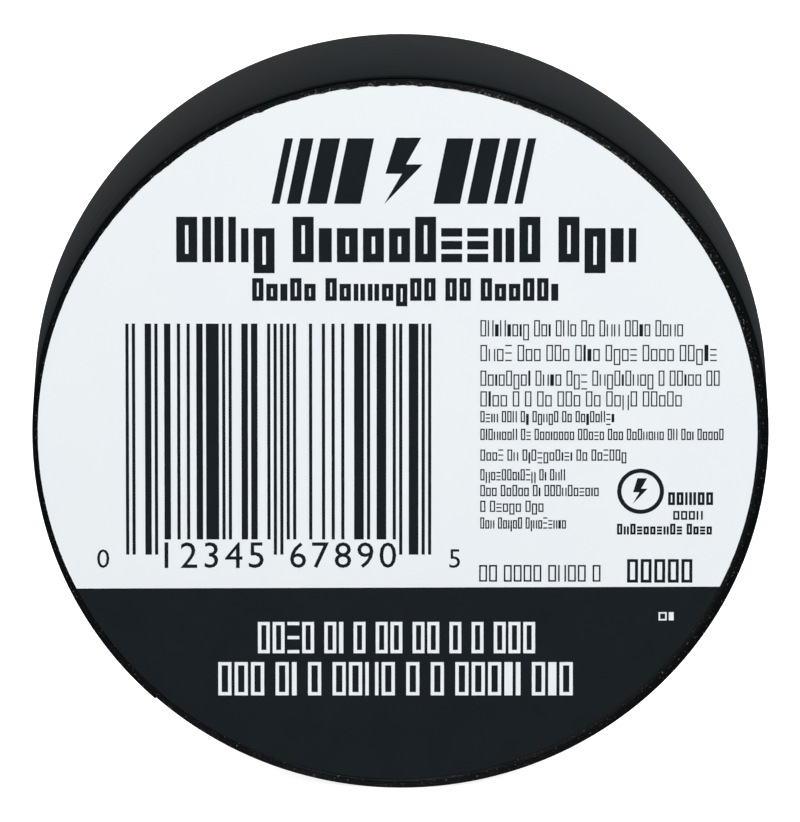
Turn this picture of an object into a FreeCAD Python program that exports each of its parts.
import FreeCAD, Part

import math
import os
import Sketcher

from FreeCAD import Placement, Rotation, Vector

# Roll of vinyl electrical tape, standing on its rim, in millimetres.
# The origin is on the axis of the core, at the middle of the tape's width. Y is the axis, the label faces -Y
# and +Z is up. Angles about the axis start at +X and grow towards +Z, which is the way the strip is wound.

# The driving dimensions. Everything else is worked out from them.
SIZES = {
    "tape_width": 18.0,
    "tape_length": 18200.0,
    "tape_thickness": 0.152,
    "core_bore": 38.1,
    "core_wall": 1.5,
    "core_width": 17.6,
    "core_chamfer": 0.3,
    "label_radius": 35.3,
    "label_thickness": 0.1,
    "label_shift_left": 0.29,
    "label_shift_up": 0.28,
    "label_edge_width": 5.0,
    "peel_angle": 150.0,
    "segment_angle": 13.0,
    "segment_count": 6,
}

# The lengths and angles that the features are bound to.
BORE_RADIUS = "Sizes.core_bore / 2"
CORE_RADIUS = f"({BORE_RADIUS} + Sizes.core_wall)"
# The strip's length times its thickness fills the ring between the core and the outermost layer.
ROLL_RADIUS = f"sqrt({CORE_RADIUS} ^ 2 + Sizes.tape_length * Sizes.tape_thickness / pi)"
UNDER_RADIUS = f"({ROLL_RADIUS} - Sizes.tape_thickness)"
FREE_END_ANGLE = "(Sizes.peel_angle + Sizes.segment_angle * Sizes.segment_count)"
# The upright line that the label folds along, to the right of the axis.
FOLD_RIGHT = "Sizes.label_radius - Sizes.label_shift_left - Sizes.label_edge_width"

# How a constraint names a point of a line or an arc, and the sketch's own origin.
START, END, CENTRE = 1, 2, 3
ORIGIN = (-1, 1)


def add_sizes(doc):
    """The spreadsheet, with one row for each driving dimension."""
    sheet = doc.addObject("Spreadsheet::Sheet", "Sizes")
    for row, (name, value) in enumerate(SIZES.items(), start=1):
        sheet.set(f"A{row}", name)
        sheet.set(f"B{row}", str(value))
        sheet.setAlias(f"B{row}", name)
    doc.recompute()
    return sheet


def add_body(doc, name):
    body = doc.addObject("PartDesign::Body", name)
    body.Label = name
    return body


def add_front_sketch(body, name):
    """A sketch in the body's own XZ plane, seen from the label's side. Its normal is -Y."""
    sketch = body.newObject("Sketcher::SketchObject", name)
    plane = next(item for item in body.Origin.OriginFeatures if item.Role == "XZ_Plane")
    sketch.AttachmentSupport = [(plane, "")]
    sketch.MapMode = "FlatFace"
    return sketch


def add_pad(body, sketch, length, side):
    pad = body.newObject("PartDesign::Pad", f"{body.Name}_pad")
    pad.Profile = sketch
    pad.SideType = side
    pad.setExpression("Length", length)
    return pad


def join(sketch, *points):
    """Makes two points one: each is an item's number and the name of its point."""
    sketch.addConstraint(Sketcher.Constraint("Coincident", *points))


def bind(sketch, kind, item, size):
    """Gives an item's radius or angle a size that follows an expression."""
    now = sketch.Geometry[item].Radius if kind == "Radius" else line_angle(sketch.Geometry[item])
    number = sketch.addConstraint(Sketcher.Constraint(kind, item, now))
    sketch.setExpression(f"Constraints[{number}]", size)


def place(sketch, kind, item, point, now, size):
    """Holds a point at a DistanceX or DistanceY from the axis, as kind says, that follows an expression."""
    number = sketch.addConstraint(Sketcher.Constraint(kind, *ORIGIN, item, point, now))
    sketch.setExpression(f"Constraints[{number}]", size)


def line_angle(line):
    way = line.EndPoint - line.StartPoint
    return math.atan2(way.y, way.x)


def polar(radius, degrees, centre=Vector()):
    """A point of a sketch from its distance to a centre and its angle about it."""
    angle = math.radians(degrees)
    return centre + Vector(radius * math.cos(angle), radius * math.sin(angle), 0)


def add_circle(sketch, radius, size):
    """A circle about the axis, drawn with a radius and bound to the expression in size."""
    circle = sketch.addGeometry(Part.Circle(Vector(), Vector(0, 0, 1), radius))
    join(sketch, circle, CENTRE, *ORIGIN)
    bind(sketch, "Radius", circle, size)


def add_arc(sketch, radius, start, end, centre=Vector()):
    """An arc drawn from one angle to another, in degrees and counter-clockwise."""
    circle = Part.Circle(centre, Vector(0, 0, 1), radius)
    return sketch.addGeometry(Part.ArcOfCircle(circle, math.radians(start), math.radians(end)))


def add_line(sketch, start, end):
    return sketch.addGeometry(Part.LineSegment(start, end))


def add_spoke(sketch, arc, end, angle):
    """A construction line from the axis to an arc's end, which holds that end at an angle."""
    corner = sketch.getPoint(arc, end)
    spoke = sketch.addGeometry(Part.LineSegment(Vector(), corner), True)
    join(sketch, spoke, START, *ORIGIN)
    join(sketch, spoke, END, arc, end)
    bind(sketch, "Angle", spoke, angle)


def add_core(doc, sheet):
    """The moulded ring that the tape is wound on, a little narrower than the tape."""
    body = add_body(doc, "core")
    sketch = add_front_sketch(body, "core_ring")
    inner = sheet.core_bore / 2
    add_circle(sketch, inner, BORE_RADIUS)
    add_circle(sketch, inner + sheet.core_wall, CORE_RADIUS)
    pad = add_pad(body, sketch, "Sizes.core_width", "Symmetric")
    doc.recompute()
    chamfer = body.newObject("PartDesign::Chamfer", "core_edges")
    chamfer.Base = (pad, [f"Edge{number}" for number in bore_edges(pad.Shape, inner)])
    chamfer.setExpression("Size", "Sizes.core_chamfer")
    return body


def bore_edges(shape, radius):
    """The numbers of a shape's round edges of this radius."""
    return [
        number
        for number, edge in enumerate(shape.Edges, start=1)
        if isinstance(edge.Curve, Part.Circle) and math.isclose(edge.Curve.Radius, radius)
    ]


def add_winding(doc, sheet, roll_radius):
    """The wound strip without its free end.

    The outermost layer runs round the axis up to the peel line. The layer under the free end carries on from
    there, one thickness lower, and half a turn later it has come out again to meet the outermost layer.
    """
    body = add_body(doc, "tape_winding")
    sketch = add_front_sketch(body, "tape_spiral")
    free_end = sheet.peel_angle + sheet.segment_angle * sheet.segment_count
    under_radius = roll_radius - sheet.tape_thickness
    rise_centre = polar(sheet.tape_thickness / 2, free_end - 180)
    rise_radius = roll_radius - sheet.tape_thickness / 2

    rise = add_arc(sketch, rise_radius, free_end, free_end + 180, rise_centre)
    outermost = add_arc(sketch, roll_radius, free_end - 180, sheet.peel_angle)
    peel_face = add_line(sketch, polar(under_radius, sheet.peel_angle), polar(roll_radius, sheet.peel_angle))
    under = add_arc(sketch, under_radius, sheet.peel_angle, free_end)

    join(sketch, outermost, CENTRE, *ORIGIN)
    join(sketch, under, CENTRE, *ORIGIN)
    join(sketch, outermost, END, peel_face, END)
    join(sketch, peel_face, START, under, START)
    join(sketch, under, END, rise, START)
    sketch.addConstraint(Sketcher.Constraint("Tangent", rise, END, outermost, START))
    bind(sketch, "Radius", outermost, ROLL_RADIUS)
    bind(sketch, "Radius", under, UNDER_RADIUS)
    bind(sketch, "Angle", peel_face, "Sizes.peel_angle")
    add_spoke(sketch, outermost, START, f"{FREE_END_ANGLE} - 180")
    add_spoke(sketch, under, END, FREE_END_ANGLE)
    add_spoke(sketch, under, START, "Sizes.peel_angle")
    add_circle(sketch, sheet.core_bore / 2 + sheet.core_wall, CORE_RADIUS)
    add_pad(body, sketch, "Sizes.tape_width", "Symmetric")
    return body


def add_end_segment(doc, sheet, roll_radius, index):
    """One short length of the free end. The strip bends at the outer edge between two of them."""
    body = add_body(doc, f"tape_end_{index + 1}")
    sketch = add_front_sketch(body, f"tape_end_{index + 1}_section")
    under_radius = roll_radius - sheet.tape_thickness
    near, far = sheet.peel_angle, sheet.peel_angle + sheet.segment_angle

    outer = add_arc(sketch, roll_radius, near, far)
    inner = add_arc(sketch, under_radius, near, far)
    near_face = add_line(sketch, polar(under_radius, near), polar(roll_radius, near))
    far_face = add_line(sketch, polar(under_radius, far), polar(roll_radius, far))

    join(sketch, outer, CENTRE, *ORIGIN)
    join(sketch, inner, CENTRE, *ORIGIN)
    join(sketch, near_face, START, inner, START)
    join(sketch, near_face, END, outer, START)
    join(sketch, far_face, START, inner, END)
    join(sketch, far_face, END, outer, END)
    bind(sketch, "Radius", outer, ROLL_RADIUS)
    bind(sketch, "Radius", inner, UNDER_RADIUS)
    far_angle = "Sizes.peel_angle + Sizes.segment_angle"
    add_spoke(sketch, inner, START, "Sizes.peel_angle")
    add_spoke(sketch, inner, END, far_angle)
    bind(sketch, "Angle", near_face, "Sizes.peel_angle")
    bind(sketch, "Angle", far_face, far_angle)
    add_pad(body, sketch, "Sizes.tape_width", "Symmetric")

    # Turning about -Y moves a segment on from the peel line towards the free end.
    body.Placement = Placement(Vector(), Rotation(Vector(0, -1, 0), 1))
    body.setExpression("Placement.Rotation.Angle", f"Sizes.segment_angle * {index}")
    return body


def add_label_part(doc, sheet, name, right_of_fold):
    """One side of the printed disc, which is stuck on the front face a little up and to the left of the axis.

    The label is one disc. It is two solids that meet at a fold line, because its right edge stays stuck when
    the rest is peeled open.
    """
    body = add_body(doc, name)
    sketch = add_front_sketch(body, f"{name}_outline")
    sketch.setExpression("AttachmentOffset.Base.z", "Sizes.tape_width / 2")
    left, up = sheet.label_shift_left, sheet.label_shift_up
    fold_right = sheet.label_radius - left - sheet.label_edge_width
    half_fold = math.degrees(math.acos((fold_right + left) / sheet.label_radius))
    start, end = (-half_fold, half_fold) if right_of_fold else (half_fold, 360 - half_fold)

    rim = add_arc(sketch, sheet.label_radius, start, end, Vector(-left, up, 0))
    fold = add_line(sketch, sketch.getPoint(rim, END), sketch.getPoint(rim, START))
    join(sketch, rim, END, fold, START)
    join(sketch, fold, END, rim, START)
    bind(sketch, "Radius", rim, "Sizes.label_radius")
    sketch.addConstraint(Sketcher.Constraint("Vertical", fold))
    place(sketch, "DistanceX", rim, CENTRE, -left, "-Sizes.label_shift_left")
    place(sketch, "DistanceY", rim, CENTRE, up, "Sizes.label_shift_up")
    place(sketch, "DistanceX", fold, START, fold_right, FOLD_RIGHT)
    add_pad(body, sketch, "Sizes.label_thickness", "One side")
    return body


def check(doc, bodies):
    """Stops if anything failed, because a failed feature raises nothing by itself."""
    for item in doc.Objects:
        if "Invalid" in item.State or "Error" in item.State:
            raise RuntimeError(f"{item.Label} failed: {item.State}")
        if item.isDerivedFrom("Sketcher::SketchObject") and not item.FullyConstrained:
            raise RuntimeError(f"{item.Label} isn't fully constrained")
    for body in bodies:
        if body.Shape.isNull() or not body.Shape.isValid() or len(body.Shape.Solids) != 1:
            raise RuntimeError(f"{body.Label} isn't one valid solid")


def main():
    doc = FreeCAD.newDocument("tape_roll")
    sheet = add_sizes(doc)
    core_radius = sheet.core_bore / 2 + sheet.core_wall
    roll_radius = math.sqrt(core_radius**2 + sheet.tape_length * sheet.tape_thickness / math.pi)

    bodies = [add_core(doc, sheet), add_winding(doc, sheet, roll_radius)]
    bodies += [add_end_segment(doc, sheet, roll_radius, index) for index in range(int(sheet.segment_count))]
    bodies.append(add_label_part(doc, sheet, "label", right_of_fold=False))
    bodies.append(add_label_part(doc, sheet, "label_edge", right_of_fold=True))
    doc.recompute()
    check(doc, bodies)

    os.makedirs("parts", exist_ok=True)
    for body in bodies:
        body.Shape.exportStep(f"parts/{body.Label}.step")
        print(body.Label, round(body.Shape.Volume, 2), body.Shape.BoundBox)


main()
